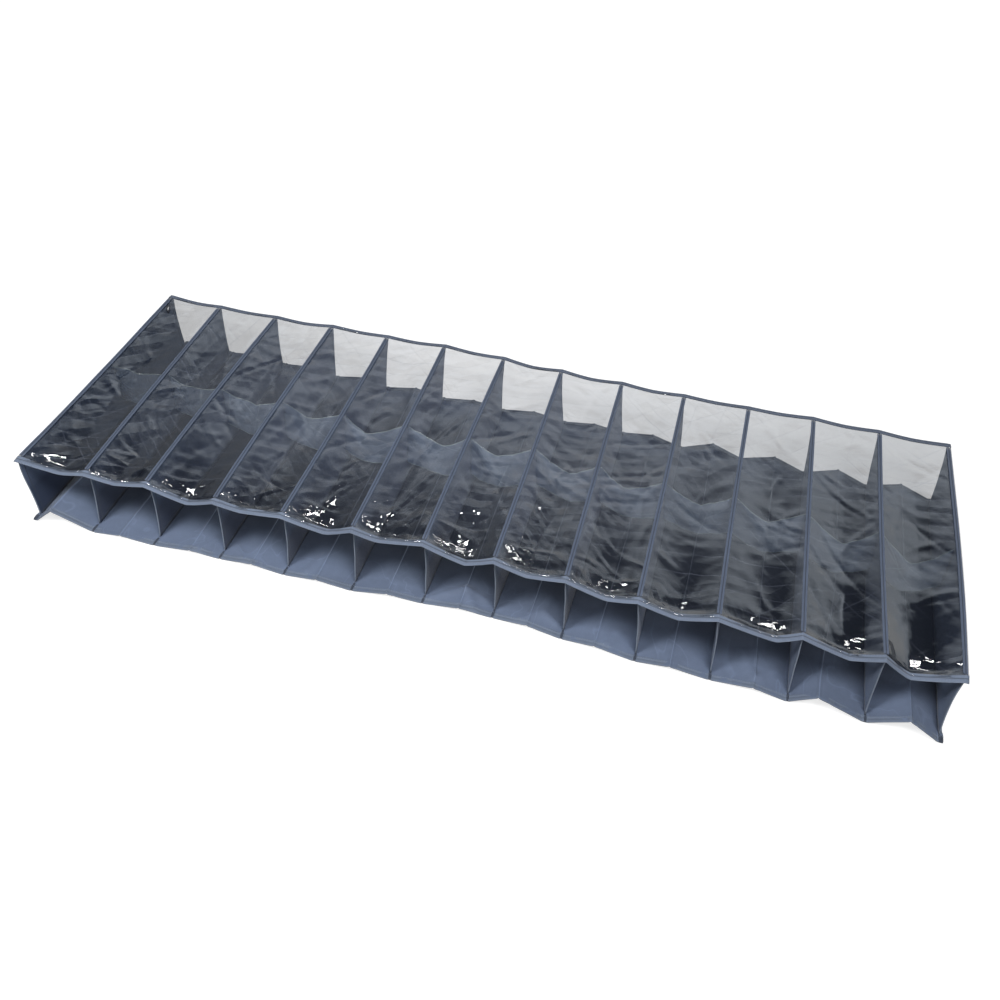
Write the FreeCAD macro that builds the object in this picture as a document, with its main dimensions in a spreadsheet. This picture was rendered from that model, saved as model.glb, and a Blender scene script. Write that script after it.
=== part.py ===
# Shoe organizer: a long fabric accordion of narrow bays, open at front and back.
# One creased floor sheet and one creased clear cover run the whole length. Upright walls
# are sewn between them, and a clear stop strip crosses the middle of each bay, so that one
# shoe goes in from the front and one from the back. The walls slide together along X when
# the organizer is folded, and the sheets fold at their creases.
#
# Frame: millimetres, +Z up, X along the row of bays, the front opening towards -Y.
# The origin is the middle of the footprint, at the level the organizer rests on.
import FreeCAD, Part
import os
import re
import Sketcher

# ---------------------------------------------------------------- driving sizes
SIZES = [
    ("bay_count", 13, "number of bays between the two end walls"),
    ("top_pitch", 120, "spacing of the walls along their top edges"),
    ("foot_spread", 2.5, "how much further apart the walls stand along the floor"),
    ("cover_depth", 508, "front edge to back edge of the clear cover with its bindings"),
    ("floor_apron", 11, "how far the floor reaches beyond the cover at front and back"),
    ("rest_height", 140, "floor level to the top of the wall tapes"),
    ("wall_thick", 2.4, "fabric-covered board of a wall"),
    ("wall_inset", 4, "wall edge behind the front or back edge of the cover"),
    ("sheet_thick", 1, "floor fabric"),
    ("film_thick", 0.6, "clear cover film"),
    ("flange_thick", 0.6, "one layer of binding tape"),
    ("seam_width", 11, "flat strip of floor and cover at each wall"),
    ("cover_sag", 16, "drop of the cover's crease in the middle of a bay"),
    ("floor_rise", 9, "rise of the floor's crease in the middle of a bay"),
    ("top_tape_width", 13, "binding along the front and back edges of the cover"),
    ("hem_width", 11, "binding along the front and back edges of the floor"),
    ("wall_tape_width", 10, "tape along the top of each wall"),
    ("wall_tape_thick", 1.4, "folded tape along the top of each wall"),
    ("strip_top", 131, "height of a stop strip's upper edge"),
    ("strip_bottom", 45, "height of a stop strip's lower edge"),
    ("strip_fold", 30, "how far forward a stop strip is folded in the middle of its bay"),
    ("strip_dip", 12, "how much lower its upper edge is there, under the cover's crease"),
    ("strip_back", 16, "how far behind the middle of the walls a stop strip is tacked"),
    ("strip_thick", 0.6, "clear film of a stop strip"),
    ("seam_gap", 0.2, "clearance of a stop strip from the walls it is tacked to"),
    ("eyelet_back", 21, "eyelet centre in front of the wall's back edge"),
    ("eyelet_drop", 14, "eyelet centre below the wall's top edge"),
    ("eyelet_bore", 10, "diameter of the eyelet's hole"),
    ("eyelet_barrel", 1, "thickness of the eyelet's barrel"),
    ("eyelet_rim", 2.6, "how far each rim stands out around the barrel"),
    ("eyelet_rim_thick", 0.8, "thickness of each rim"),
    ("eyelet_fit", 0.1, "clearance of the barrel in the wall's hole"),
]
ALIASES = [alias for alias, value, words in SIZES]

doc = FreeCAD.newDocument("shoe_organizer")
sheet = doc.addObject("Spreadsheet::Sheet", "Sizes")
for row, (alias, value, words) in enumerate(SIZES, start=1):
    sheet.set("A%d" % row, alias)
    sheet.set("B%d" % row, str(value))
    sheet.set("C%d" % row, words)
    sheet.setAlias("B%d" % row, alias)
doc.recompute()
BAYS = int(sheet.get("bay_count"))


def cells(text):
    """An expression with each size written as its cell in the sheet."""
    return re.sub(r"\b(%s)\b" % "|".join(ALIASES), r"Sizes.\1", text)


def worth(text):
    """What such an expression comes to now, in millimetres."""
    value = sheet.evalExpression(cells(text))
    return float(getattr(value, "Value", value))


# ---------------------------------------------------------------- levels and places
FLOOR_PITCH = "(top_pitch + foot_spread)"
FLOOR_DEPTH = "(cover_depth + 2 * floor_apron)"
SHEET_LOW = "flange_thick"
SHEET_TOP = "(flange_thick + sheet_thick)"
COVER_TOP = "(rest_height - wall_tape_thick)"
COVER_LOW = "(rest_height - wall_tape_thick - film_thick)"
TAPE_LOW = "(rest_height - wall_tape_thick - film_thick - flange_thick)"
WALL_EDGE = "(cover_depth / 2 - wall_inset)"
TAPE_EDGE = "(cover_depth / 2 - top_tape_width)"


def wall_foot(wall):
    """Where the middle of a wall's foot stands along X. Walls are counted from 0."""
    return "((%d - bay_count / 2) * %s)" % (wall, FLOOR_PITCH)


def wall_head(wall):
    """Where the middle of a wall's top edge stands along X."""
    return "((%d - bay_count / 2) * top_pitch)" % wall


def wall_lean(wall):
    """How far a wall goes along X for each millimetre up."""
    run = "(%s - %s)" % (wall_head(wall), wall_foot(wall))
    return "(%s / (%s - %s))" % (run, COVER_LOW, SHEET_TOP)


def wall_at(wall, height):
    """The middle of a wall along X at some height."""
    return "(%s + %s * (%s - %s))" % (wall_foot(wall), wall_lean(wall), height, SHEET_TOP)


# ---------------------------------------------------------------- building blocks
def origin_plane(body, role):
    for feature in body.Origin.OriginFeatures:
        if feature.Role == role:
            return feature
    raise RuntimeError("no %s in %s" % (role, body.Name))


def new_body(label):
    body = doc.addObject("PartDesign::Body", label + "_body")
    body.Label = label
    return body


def outline(body, name, role, points, along="0"):
    """A closed outline on an origin plane, each corner's two coordinates tied to the sizes.
    On XZ_Plane the sketch stands at Y = along."""
    sketch = body.newObject("Sketcher::SketchObject", name)
    sketch.AttachmentSupport = (origin_plane(body, role), [""])
    sketch.MapMode = "FlatFace"
    if along != "0":
        sketch.setExpression("AttachmentOffset.Base.z", cells("-1 * (%s)" % along))
    spots = [FreeCAD.Vector(worth(across), worth(up), 0) for across, up in points]
    count = len(spots)
    for i in range(count):
        sketch.addGeometry(Part.LineSegment(spots[i], spots[(i + 1) % count]), False)
    for i in range(count):
        sketch.addConstraint(Sketcher.Constraint("Coincident", i, 2, (i + 1) % count, 1))
    for i, (across, up) in enumerate(points):
        at = sketch.addConstraint(Sketcher.Constraint("DistanceX", -1, 1, i, 1, spots[i].x))
        sketch.renameConstraint(at, "across%d" % i)
        sketch.setExpression("Constraints.across%d" % i, cells(across))
        at = sketch.addConstraint(Sketcher.Constraint("DistanceY", -1, 1, i, 1, spots[i].y))
        sketch.renameConstraint(at, "up%d" % i)
        sketch.setExpression("Constraints.up%d" % i, cells(up))
    return sketch


def pad(body, name, sketch, length):
    """A pad of the outline, half to each side of its sketch."""
    feature = body.newObject("PartDesign::Pad", name)
    feature.Profile = sketch
    feature.Midplane = True
    feature.setExpression("Length", cells(length))
    body.Tip = feature
    return feature


def row_of_bays(body, feature, pitch):
    """The first bay's piece repeated over all bays, joined into one sheet."""
    pattern = body.newObject("PartDesign::LinearPattern", body.Label + "_row")
    pattern.Originals = [feature]
    pattern.Direction = (origin_plane(body, "X_Axis"), [""])
    pattern.Mode = "Spacing"
    pattern.setExpression("Offset", cells(pitch))
    pattern.Occurrences = BAYS
    body.Tip = pattern
    return pattern


def creased(label, pitch, low, top, rise, depth, along="0"):
    """A sheet with a flat strip at each wall and a crease in the middle of each bay."""
    body = new_body(label)
    start = "(0 - bay_count / 2 * %s)" % pitch
    half = "seam_width / 2"
    stations = [
        ("%s - %s" % (start, half), "0"),
        ("%s + %s" % (start, half), "0"),
        ("%s + %s / 2" % (start, pitch), rise),
        ("%s + %s - %s" % (start, pitch, half), "0"),
        ("%s + %s + %s" % (start, pitch, half), "0"),
    ]
    under = [(across, "%s + %s" % (low, lift)) for across, lift in stations]
    over = [(across, "%s + %s" % (top, lift)) for across, lift in reversed(stations)]
    sketch = outline(body, label + "_profile", "XZ_Plane", under + over, along)
    row_of_bays(body, pad(body, label + "_bay", sketch, depth), pitch)
    return body


def cut(label, base, tool):
    feature = doc.addObject("Part::Cut", label + "_cut")
    feature.Base = base
    feature.Tool = tool
    feature.Label = label
    return feature


def binding(label, around, pitch, low, top, rise, depth, width, side):
    """A tape folded around one long edge of a creased sheet: closed at the outside, with
    the sheet's edge in its slot."""
    along = "%d * (%s / 2 - %s / 2)" % (side, depth, width)
    under = "(%s - flange_thick)" % low
    over = "(%s + flange_thick)" % top
    block = creased(label + "_block", pitch, under, over, rise, width, along)
    return cut(label, block, around)


NODES = []

# ---------------------------------------------------------------- floor, cover and bindings
floor = creased("floor_sheet", FLOOR_PITCH, SHEET_LOW, SHEET_TOP, "floor_rise",
                "%s - 2 * flange_thick" % FLOOR_DEPTH)
cover = creased("clear_cover", "top_pitch", COVER_LOW, COVER_TOP, "(0 - cover_sag)",
                "cover_depth - 2 * flange_thick")
NODES += [floor, cover]
for label, side in (("front_floor_hem", -1), ("back_floor_hem", 1)):
    NODES.append(binding(label, floor, FLOOR_PITCH, SHEET_LOW, SHEET_TOP, "floor_rise",
                         FLOOR_DEPTH, "hem_width", side))
for label, side in (("front_top_binding", -1), ("back_top_binding", 1)):
    NODES.append(binding(label, cover, "top_pitch", COVER_LOW, COVER_TOP, "(0 - cover_sag)",
                         "cover_depth", "top_tape_width", side))


# ---------------------------------------------------------------- walls and their tapes
def slab(body, name, wall, low, top, depth):
    """Part of a wall between two heights, along the wall's lean."""
    half = "wall_thick / 2"
    points = [
        ("%s - %s" % (wall_at(wall, low), half), low),
        ("%s + %s" % (wall_at(wall, low), half), low),
        ("%s + %s" % (wall_at(wall, top), half), top),
        ("%s - %s" % (wall_at(wall, top), half), top),
    ]
    return pad(body, name, outline(body, name + "_profile", "XZ_Plane", points), depth)


def wall_panel(wall, label):
    """The board reaches the cover between the two top bindings and stays under the
    bindings at its ends."""
    body = new_body(label)
    slab(body, label + "_board", wall, SHEET_TOP, TAPE_LOW, "2 * %s" % WALL_EDGE)
    slab(body, label + "_crest", wall, TAPE_LOW, COVER_LOW, "2 * %s" % TAPE_EDGE)
    return body


def wall_tape(wall, label):
    """A folded tape sewn over the cover along the wall's top edge."""
    body = new_body(label)
    half = "wall_tape_width / 2"
    points = [
        ("%s - %s" % (wall_head(wall), half), COVER_TOP),
        ("%s + %s" % (wall_head(wall), half), COVER_TOP),
        ("%s + %s" % (wall_head(wall), half), "rest_height"),
        ("%s - %s" % (wall_head(wall), half), "rest_height"),
    ]
    pad(body, label + "_strip", outline(body, label + "_profile", "XZ_Plane", points),
        "2 * %s" % TAPE_EDGE)
    return body


EYELET_HEIGHT = "(%s - eyelet_drop)" % COVER_LOW
EYELET_Y = "(%s - eyelet_back)" % WALL_EDGE


def seat_at_eyelet(feature, turn="0 deg", start="0"):
    """Sets a piece on the eyelet's centre, square to the first wall. A piece made along Z
    is turned a quarter turn first. Start is where it begins along the hole."""
    tilt = "atan(%s)" % wall_lean(0)
    feature.Placement.Rotation = FreeCAD.Rotation(FreeCAD.Vector(0, 1, 0), 1)
    feature.setExpression("Placement.Rotation.Angle", cells("%s + %s" % (turn, tilt)))
    feature.setExpression("Placement.Base.x", cells(
        "%s + %s * cos(%s)" % (wall_at(0, EYELET_HEIGHT), start, tilt)))
    feature.setExpression("Placement.Base.y", cells(EYELET_Y))
    feature.setExpression("Placement.Base.z", cells(
        "%s - %s * sin(%s)" % (EYELET_HEIGHT, start, tilt)))


def eyelet(label):
    """A metal eyelet: a barrel through the wall with a rim on each side of it."""
    body = new_body(label)
    face = "(wall_thick / 2)"
    end = "(wall_thick / 2 + eyelet_rim_thick)"
    bore = "eyelet_bore / 2"
    barrel = "(eyelet_bore / 2 + eyelet_barrel)"
    rim = "(eyelet_bore / 2 + eyelet_barrel + eyelet_rim)"
    points = [
        ("0 - %s" % end, bore),
        (end, bore),
        (end, rim),
        (face, rim),
        (face, barrel),
        ("0 - %s" % face, barrel),
        ("0 - %s" % face, rim),
        ("0 - %s" % end, rim),
    ]
    sketch = outline(body, label + "_profile", "XY_Plane", points)
    turned = body.newObject("PartDesign::Revolution", label + "_turned")
    turned.Profile = sketch
    turned.ReferenceAxis = (sketch, ["H_Axis"])
    turned.Angle = 360
    body.Tip = turned
    seat_at_eyelet(body)
    return body


for wall in range(BAYS + 1):
    panel = wall_panel(wall, "wall_%02d" % (wall + 1))
    if wall == 0:
        panel.Label = "wall_01_panel"
        bar = doc.addObject("Part::Cylinder", "eyelet_hole")
        bar.setExpression("Radius", cells("eyelet_bore / 2 + eyelet_barrel + eyelet_fit"))
        bar.setExpression("Height", cells("8 * wall_thick"))
        seat_at_eyelet(bar, "90 deg", "(-4 * wall_thick)")
        panel = cut("wall_01", panel, bar)
    NODES.append(panel)
    NODES.append(wall_tape(wall, "wall_tape_%02d" % (wall + 1)))
NODES.append(eyelet("hanging_eyelet"))


# ---------------------------------------------------------------- stop strips
def stop_strip(bay, label):
    """A clear strip across the middle of a bay, tacked to both walls and folded forward
    along its middle. It leans as its two walls do."""
    body = new_body(label)
    gap = "(wall_thick / 2 + seam_gap)"
    left = "(%s + %s)" % (wall_at(bay, "strip_top"), gap)
    right = "(%s - %s)" % (wall_at(bay + 1, "strip_top"), gap)
    middle = "((%s + %s) / 2)" % (left, right)
    points = [
        (left, "strip_back - strip_thick / 2"),
        (middle, "strip_back - strip_thick / 2 - strip_fold"),
        (right, "strip_back - strip_thick / 2"),
        (right, "strip_back + strip_thick / 2"),
        (middle, "strip_back + strip_thick / 2 - strip_fold"),
        (left, "strip_back + strip_thick / 2"),
    ]
    sketch = outline(body, label + "_profile", "XY_Plane", points)
    sketch.setExpression("AttachmentOffset.Base.z", cells("strip_top"))
    film = body.newObject("PartDesign::Pad", label + "_film")
    film.Profile = sketch
    film.UseCustomVector = True
    film.AlongSketchNormal = True
    lean = "((%s + %s) / 2)" % (wall_lean(bay), wall_lean(bay + 1))
    film.setExpression("Direction.x", cells("-1 * %s" % lean))
    film.Direction = FreeCAD.Vector(0, 0, -1)
    film.setExpression("Length", cells("strip_top - strip_bottom"))
    dip = outline(body, label + "_dip", "XZ_Plane", [
        ("%s - wall_thick" % left, "strip_top"),
        (middle, "strip_top - strip_dip"),
        ("%s + wall_thick" % right, "strip_top"),
        ("%s + wall_thick" % right, "strip_top + strip_dip"),
        ("%s - wall_thick" % left, "strip_top + strip_dip"),
    ])
    trimmed = body.newObject("PartDesign::Pocket", label + "_trimmed")
    trimmed.Profile = dip
    trimmed.Midplane = True
    trimmed.Type = "ThroughAll"
    body.Tip = trimmed
    return body


for bay in range(BAYS):
    NODES.append(stop_strip(bay, "stop_strip_%02d" % (bay + 1)))

doc.recompute()

# ---------------------------------------------------------------- checks and export
for feature in doc.Objects:
    if "Invalid" in feature.State or "Error" in feature.State:
        raise RuntimeError("%s failed: %s" % (feature.Label, feature.State))
for node in NODES:
    shape = node.Shape
    if shape.isNull() or not shape.isValid() or len(shape.Solids) != 1:
        raise RuntimeError("%s has no single valid solid" % node.Label)

os.makedirs("parts", exist_ok=True)
for node in NODES:
    node.Shape.exportStep(os.path.join("parts", node.Label + ".step"))
    box = node.Shape.BoundBox
    print("%-20s x %8.1f %8.1f  y %7.1f %7.1f  z %6.1f %6.1f  %9.1f mm3" % (
        node.Label, box.XMin, box.XMax, box.YMin, box.YMax, box.ZMin, box.ZMax,
        node.Shape.Volume))
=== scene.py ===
# A folding shoe organizer: creased fabric floor, upright board walls, clear creased cover,
# folded bindings with their stitches, clear stop strips and a rimmed eyelet.
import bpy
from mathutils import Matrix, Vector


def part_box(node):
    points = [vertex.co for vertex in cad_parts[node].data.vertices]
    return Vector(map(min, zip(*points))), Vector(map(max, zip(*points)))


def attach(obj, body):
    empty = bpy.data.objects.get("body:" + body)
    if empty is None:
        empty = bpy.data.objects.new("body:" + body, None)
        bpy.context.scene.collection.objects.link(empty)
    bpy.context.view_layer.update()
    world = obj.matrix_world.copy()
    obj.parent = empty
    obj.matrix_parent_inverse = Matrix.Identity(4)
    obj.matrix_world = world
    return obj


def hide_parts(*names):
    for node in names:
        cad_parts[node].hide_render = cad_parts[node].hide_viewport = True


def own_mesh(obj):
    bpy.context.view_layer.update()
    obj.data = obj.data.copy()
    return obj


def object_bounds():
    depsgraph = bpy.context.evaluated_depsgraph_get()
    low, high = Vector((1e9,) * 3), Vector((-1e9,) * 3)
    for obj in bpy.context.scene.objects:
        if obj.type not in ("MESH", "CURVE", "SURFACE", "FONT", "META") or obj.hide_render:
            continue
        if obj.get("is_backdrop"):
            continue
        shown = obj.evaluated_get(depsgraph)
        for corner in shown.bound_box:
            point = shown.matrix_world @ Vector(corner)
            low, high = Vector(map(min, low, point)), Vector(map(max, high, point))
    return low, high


bl_info = {
    "name": "Folding shoe organizer",
    "version": (1, 0, 0),
    "blender": (4, 5, 0),
    "location": "View3D > Sidebar > Organizer",
    "description": "Builds the cloth, film and tape pieces of a folding shoe organizer",
    "category": "Add Mesh",
}

import math

import bpy
import numpy as np
from bpy.props import FloatProperty, FloatVectorProperty, IntProperty, PointerProperty
from mathutils import Matrix, Vector, noise

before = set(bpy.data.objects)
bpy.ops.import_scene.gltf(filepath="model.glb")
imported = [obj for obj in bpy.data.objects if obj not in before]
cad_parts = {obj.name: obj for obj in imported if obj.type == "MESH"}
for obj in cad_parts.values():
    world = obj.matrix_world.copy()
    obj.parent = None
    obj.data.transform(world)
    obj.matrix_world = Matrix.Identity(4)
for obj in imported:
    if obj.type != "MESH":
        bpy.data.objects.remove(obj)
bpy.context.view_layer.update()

MM = 0.001
WALLS = sorted(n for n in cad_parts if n.startswith("wall_") and "tape" not in n)
BAYS = len(WALLS) - 1
ROOT = WALLS[0]

COVER_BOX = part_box("clear_cover")
FLOOR_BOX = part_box("floor_sheet")
SEAM = 0.011
TOP_PITCH = (COVER_BOX[1].x - COVER_BOX[0].x - SEAM) / BAYS
FLOOR_PITCH = (FLOOR_BOX[1].x - FLOOR_BOX[0].x - SEAM) / BAYS
COVER_Z = COVER_BOX[1].z - 0.3 * MM
FLOOR_Z = FLOOR_BOX[0].z + 0.5 * MM
TOP_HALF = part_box("front_top_binding")[0].y * -1
FLOOR_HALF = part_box("front_floor_hem")[0].y * -1

# Metres: thickness and tilt of tapes, how far a wall ends before the back edges, heights
# of the stop strips and the gap beside them, the cover's depth, half the ground.
HEM_THICK = 0.0021
BINDING_THICK = 0.0018
BINDING_TILT = 0.0015
TAPE_THICK = 0.0014
TOP_BACK_INSET, FOOT_BACK_INSET = 0.004, 0.015
STRIP_LOW, STRIP_HIGH, STRIP_GAP = 0.045, 0.131, 0.0016
COVER_DEPTH = 0.508
GROUND_HALF = 6.0
# The share of a wall's depth that is folded over at each of its ends.
WALL_FOLD = 0.0195
# Where the cover is clearest and its painted reflection strongest, from its left end, and
# how much faster it grows denser leftwards.
CLEAREST, LEFTWARDS = 0.65, 1.45
# The first of the walls that stand in more light.
FIRST_LIT = 9
# Long creases in the film of each bay, and the height, width and ends of a floor fold in
# millimetres.
LONG_CREASES = 12
FOLD_TALL, FOLD_WIDE, FOLD_END = 5.0, 5.5, 12
# How far a wall's tape rolls with its waves, in radians.
TAPE_ROLL = 0.35
HOLE_SIDES = 32
WHITE = (1.0, 1.0, 1.0, 1.0)
# Places across a bay in the tapes, the floor and the cover.
BAND_SHARES, FLOOR_SHARES, COVER_SHARES = 15, 19, 22

# How the cloth lies, in millimetres, for each wall or bay: sideways shifts of a wall's
# front and back ends, how far they stand out, bends, folds (shares of a bay) and drops.
TOP_SHIFT = np.array([[-8.5, -3, -12, -4.5, -4, -1, 0, 0, -1, -4, 0, 7, 9, 1],
                      [3, -6, -1.5, -1, -2, -3, 0.5, -2, -2, -1, 1, 1, 1, 3]])
FOOT_SHIFT = np.array([[10, -5, -9, -5, -5, -1, 3, 3, 2, 6, 7, 10, 7, -8],
                       [20, 1, 7, 6, -5, -4, 5, 17, 16, 12, 8, 10, 6, 0]]) * 0.7
TOP_OUT = np.array([[15, 12, 6, 8, 5, 1, -5, -3, 2, 10, 8, 5, 11, 15],
                    [4, 2, 4, 10, 11, 17, 14, 10, 8, 7, 8, 14, 13, 12]])
TOP_INSET = [4, 16, 15, 14, 14, 13, 12, 9, 5, 4, 4, 4, 4, 4]
FOOT_OUT = np.array([[18, 13, 10, 5, 6, 5, -4, -9, 0, 9, 10, 15, 19, 23],
                     [12, 8, 6, 0, -2, 0, 2, 3, 6, -3, 1, -3, -4, -8]])
FOOT_INSET = [12, 20, 20, 19, 18, 18, 17, 16, 16, 14, 13, 13, 13, 12]
TAPE_BEND = [4, -2, -5, -4, 3, 2, -2, 1, -1, 0, -3, -2, -3, 7]
COVER_KINK = [0.62, 0.49, 0.60, 0.40, 0.63, 0.36, 0.60, 0.47, 0.58, 0.53, 0.72, 0.61, 0.38]
COVER_DROP = [10, 10, 19, 8, 18, 12, 22, 13, 15, 18, 20, 19, 26]
COVER_BACK_DROP = [4, 3, 5, 3, 4, 4, 7, 6, 5, 3, 3, 4, 4]
FLOOR_KINK = [0.34, 0.45, 0.55, 0.50, 0.48, 0.50, 0.52, 0.50, 0.45, 0.46, 0.55, 0.34, 0.53]
FLOOR_FRONT_RISE = [34, 6, 6, 7, 7, 8, 7, 7, 7, 8, 10, 30, 33]
FLOOR_BACK_RISE = [10, 9, 9, 12, 12, 9, 10, 8, 13, 24, 22, 24, 22]
STRIP_BACK = [26, 26, 14, 13, 13, 14, 16, 25, 22, 20, 20, 12, 9, 10]
COVER_DIP = [6.5, 4.5, 6.5, 5.0, 7.0, 6.0, 7.5, 3.5, 4.5, 3.5, 7.5, 6.0, 6.5]
STRIP_FOLD_AT = [0.60, 0.46, 0.62, 0.56, 0.44, 0.66, 0.45, 0.60, 0.50, 0.55, 0.48, 0.52,
                 0.45]
STRIP_FOLD = [5, 11, 15, 18, 27, 24, 25, 28, 27, 26, 29, 34, 40]


# ---------------------------------------- settings
def length(name, description, default):
    return FloatProperty(name=name, description=description, default=default,
                         unit="LENGTH")


def colour(name, description, default):
    return FloatVectorProperty(name=name, description=description, default=default,
                               subtype="COLOR", size=3)


class OrganizerSizes(bpy.types.PropertyGroup):
    binding_width: length("Top binding", "Width of the tapes along the cover's long edges",
                          0.013)
    hem_width: length("Floor hem", "Width of the tapes along the floor's long edges", 0.011)
    tape_width: length("Wall tape", "Width of the tape along a wall's top edge", 0.0080)
    board: length("Wall", "Thickness of a wall's fabric-covered board", 0.0024)
    film: length("Film", "Thickness of the clear film", 0.0004)
    cloth: length("Floor cloth", "Thickness of the floor sheet", 0.0009)
    stitch: length("Stitch spacing", "Distance from one stitch to the next", 0.0042)
    wrinkle: FloatProperty(
        name="Wrinkles", description="Strength of the wrinkles in the clear film",
        default=1.0, min=0.0, max=3.0)
    seed: IntProperty(
        name="Seed", description="Choice of wrinkles", default=4)


class OrganizerColours(bpy.types.PropertyGroup):
    cloth: colour("Cloth", "Blue-grey fabric of the floor", (0.128, 0.165, 0.248))
    # Walls and lit walls are copies of one wall fabric: walls is painted paler, a painted
    # light on the faces of the left and middle walls.
    walls: colour("Walls", "Fabric of the left and middle walls", (0.185, 0.245, 0.375))
    lit_walls: colour("Lit walls", "Fabric of the right walls, which stand in more light",
                      (0.122, 0.165, 0.260))
    edge_tape: colour("Edge tape", "Paler tape along the front and the hems",
                      (0.140, 0.174, 0.240))
    raw_edge: colour("Board edge", "Pale raw edge of a wall's board", (0.21, 0.25, 0.32))
    wall_tape: colour("Wall tape", "Darker tape on the walls and the back edge",
                      (0.076, 0.098, 0.148))
    film: colour("Film", "Smoky tint of the clear cover", (0.010, 0.012, 0.017))
    # The strips' pale tint is a painted sheen on the clear film.
    strip: colour("Stop strip", "Tint of the clear stop strips", (0.55, 0.67, 0.86))
    eyelet: colour("Eyelet", "Dark painted eyelet", (0.012, 0.016, 0.026))


# ---------------------------------------- shader helpers
class Graph:
    """Adds nodes to a tree and links them."""

    def __init__(self, tree):
        self.tree = tree
        tree.nodes.clear()

    def put(self, value, socket):
        if isinstance(value, bpy.types.NodeSocket):
            self.tree.links.new(value, socket)
        else:
            socket.default_value = value

    def add(self, kind, *values, **settings):
        """A node with its settings and the values of its first inputs."""
        made = self.tree.nodes.new(kind)
        for key, setting in settings.items():
            setattr(made, key, setting)
        for value, socket in zip(values, made.inputs):
            self.put(value, socket)
        return made

    def feed(self, made, **values):
        for label, value in values.items():
            self.put(value, made.inputs[label.replace("_", " ")])

    def split(self, vector):
        return self.add("ShaderNodeSeparateXYZ", vector).outputs

    def maths(self, how, a, b=0.0):
        return self.add("ShaderNodeMath", a, b, operation=how).outputs[0]

    def plus(self, a, b):
        return self.maths("ADD", a, b)

    def times(self, a, b):
        return self.maths("MULTIPLY", a, b)

    def span(self, value, low, high, to_low, to_high):
        return self.add("ShaderNodeMapRange", value, low, high, to_low, to_high).outputs[0]

    def blend(self, factor, a, b):
        made = self.add("ShaderNodeMix", factor, data_type="RGBA")
        self.put(a, made.inputs[6])
        self.put(b, made.inputs[7])
        return made.outputs[2]

    def grain(self, vector, scale, detail=2.0, rough=0.5, stretch=None, warp=0.0):
        if stretch is not None:
            still = (0.0, 0.0, 0.0)
            vector = self.add("ShaderNodeMapping", vector, still, still, stretch).outputs[0]
        made = self.add("ShaderNodeTexNoise")
        self.feed(made, Vector=vector, Scale=scale, Detail=detail, Roughness=rough,
                  Distortion=warp)
        return made.outputs["Fac"]


def fill_weave(graph, given, out):
    """Over-and-under threads: Height rises along each thread, Shade darkens the gaps."""
    warp, weft = (graph.maths("SINE", graph.times(way, given["Threads"]))
                  for way in graph.split(given["Place"])[:2])
    height = graph.span(graph.times(warp, weft), -1.0, 1.0, 0.0, 1.0)
    slub = graph.grain(given["Place"], 900.0, 1.0, 0.5, (1.0, 0.06, 1.0))
    graph.put(graph.plus(height, graph.times(slub, 0.5)), out["Height"])
    graph.put(graph.span(height, 0.0, 1.0, 0.86, 1.06), out["Shade"])


def fill_mottle(graph, given, out):
    """Slow changes of tone, and paler lines where cloth has been folded."""
    slow = graph.grain(given["Place"], 5.0, 3.0, 0.55)
    quick = graph.grain(given["Place"], 60.0, 4.0, 0.6)
    both = graph.plus(graph.times(slow, 0.65), graph.times(quick, 0.35))
    graph.put(graph.span(both, 0.30, 0.70, 0.0, 1.0), out["Tone"])
    folds = graph.grain(given["Place"], 9.0, 2.0, 0.5, (1.0, 0.7, 1.0), 1.2)
    ridge = graph.maths("ABSOLUTE", graph.maths("SUBTRACT", folds, 0.5))
    graph.put(graph.span(ridge, 0.0, 0.012, 1.0, 0.0), out["Fold"])


def pleats(graph, vector, turn, period, warp, slope, low, high, seed):
    """Straight folds across one direction, wandering a little and fading in and out:
    their height, and a thin line along each fold."""
    turned = graph.add("ShaderNodeMapping", vector, (seed, seed * 0.7, 0.0),
                       (0.0, 0.0, turn)).outputs[0]
    wander = graph.grain(turned, 0.35 / period, 2.0, 0.5, (1.0, 0.45, 1.0), 0.6)
    shift = graph.times(graph.maths("SUBTRACT", wander, 0.5), warp)
    fold = graph.maths("PINGPONG", graph.plus(graph.split(turned)[0], shift), period / 2)
    where = graph.grain(turned, 0.22 / period, 1.0, 0.5, (1.0, 0.6, 1.0))
    fade = graph.span(where, low, high, 0.0, 1.0)
    height = graph.times(fade, graph.times(fold, slope))
    return height, graph.times(fade, graph.span(fold, 0.0, FOLD_LINE, 1.0, 0.0))


def fill_creases(graph, given, out):
    """Straight folds, flat facets between them, soft waves and a crumpled front edge.
    Height is in metres. The film lies calmer over the last bays."""
    where = given["Place"]
    along, across = graph.split(where)[:2]
    soft = graph.grain(where, 13.0, 2.0, 0.5, (1.2, 0.8, 1.0), 0.8)
    total = graph.times(soft, 0.0024)
    lines = None
    for folds in LONG_FOLDS:
        height, line = pleats(graph, where, *folds)
        total = graph.plus(total, height)
        lines = line if lines is None else graph.maths("MAXIMUM", lines, line)
    front = graph.span(across, -0.250, -0.205, 1.0, 0.0)
    small, other = (pleats(graph, where, *folds)[0] for folds in FRONT_FOLDS)
    total = graph.plus(total, graph.times(front, graph.plus(small, other)))
    total = graph.times(total, graph.span(along, 0.95, 1.18, 1.0, 0.45))
    graph.put(graph.times(total, given["Sharp"]), out["Height"])
    graph.put(lines, out["Ridge"])


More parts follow.
